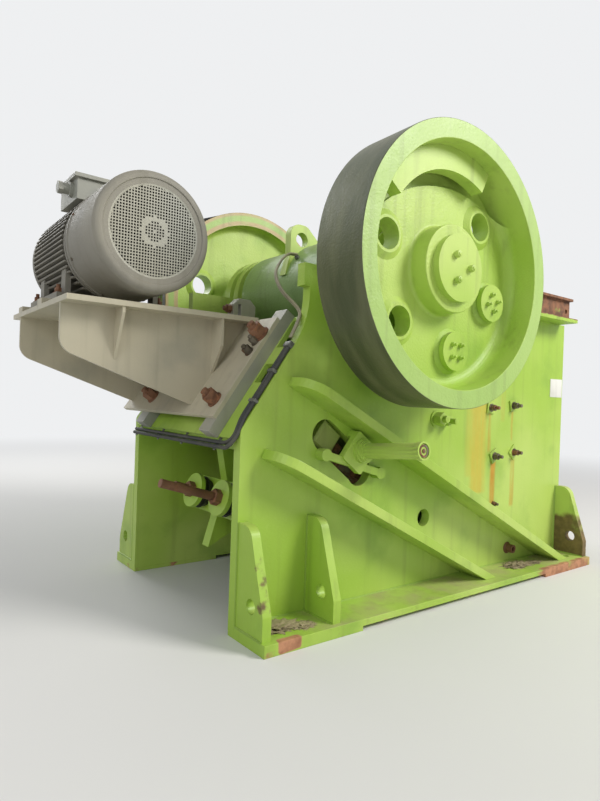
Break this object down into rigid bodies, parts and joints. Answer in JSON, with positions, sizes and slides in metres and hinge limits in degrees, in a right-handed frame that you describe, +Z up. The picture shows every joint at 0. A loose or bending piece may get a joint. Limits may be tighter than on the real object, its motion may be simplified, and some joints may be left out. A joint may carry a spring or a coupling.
{
  "type": "jaw_crusher",
  "caption": "Lime green single-toggle jaw crusher with welded side plates, flywheels with round web holes, toothed jaw plates, and a grey belt-drive motor on a rear bracket",
  "frame": {"origin": "middle of the four foundation bolt holes, at the underside of the feet", "axes": "+X towards the feed end with the fixed jaw, +Y towards the belt side, +Z up"},
  "size_m": [3.74, 2.412, 2.6732],
  "materials": {
    "green_paint": "satin",
    "green_casting": "satin",
    "manganese_steel": "matte",
    "bare_iron": "matte",
    "rusty_steel": "matte",
    "turned_steel": "satin",
    "buffer_rubber": "matte",
    "belt_rubber": "matte",
    "grey_paint": "satin",
    "grey_casting": "satin"
  },
  "bodies": {
    "frame": {"side_plate_near": "green_paint", "side_plate_far": "green_paint", "base_flange_near": "green_paint", "base_flange_far": "green_paint", "ribs_near": "green_paint", "ribs_far": "green_paint", "gussets_near": "green_paint", "gussets_far": "green_paint", "front_wall": "green_paint", "rear_beam": "green_paint", "slope_plate": "green_paint", "feed_rim_near": "green_paint", "feed_rim_far": "green_paint", "feed_rim_front": "green_paint", "bearing_housing_near": "green_casting", "bearing_housing_far": "green_casting", "pitman": "green_casting", "lifting_lug": "green_paint", "fixed_jaw_plate": "manganese_steel", "moving_jaw_plate": "manganese_steel", "cheek_plates": "manganese_steel", "toggle_plate": "bare_iron", "toggle_seats": "bare_iron", "wedge_blocks": "bare_iron", "adjusting_cylinder_near": "green_paint", "adjusting_cylinder_far": "green_paint", "tension_rod": "rusty_steel", "tension_buffer": "buffer_rubber", "rod_bracket": "green_paint", "motor_rails": "grey_paint", "motor_bracket": "grey_paint", "slide_rails": "grey_paint", "motor_body": "grey_casting", "motor_cowl": "grey_paint", "motor_grille": "grey_paint", "terminal_box": "grey_paint", "v_belts": "belt_rubber"},
    "flywheel_shaft": {"eccentric_shaft": "turned_steel", "flywheel_near": "green_casting", "flywheel_far": "green_casting", "counterweights": "green_paint", "weight_plates": "green_paint", "hub_caps": "green_paint"},
    "motor_rotor": {"motor_shaft": "turned_steel", "motor_pulley": "grey_casting"}
  },
  "joints": [
    {"name": "wheel_spin", "type": "hinge", "parent": "frame", "child": "flywheel_shaft", "pos_m": [-0.479, 0, 1.92], "axis": [0, 1, 0], "continuous": true},
    {"name": "motor_spin", "type": "hinge", "parent": "frame", "child": "motor_rotor", "pos_m": [-1.845, 0, 2.005], "axis": [0, 1, 0], "continuous": true}
  ],
  "couplings": [
    {"joint": "motor_spin", "follows": "wheel_spin", "ratio": 4.4118}
  ]
}
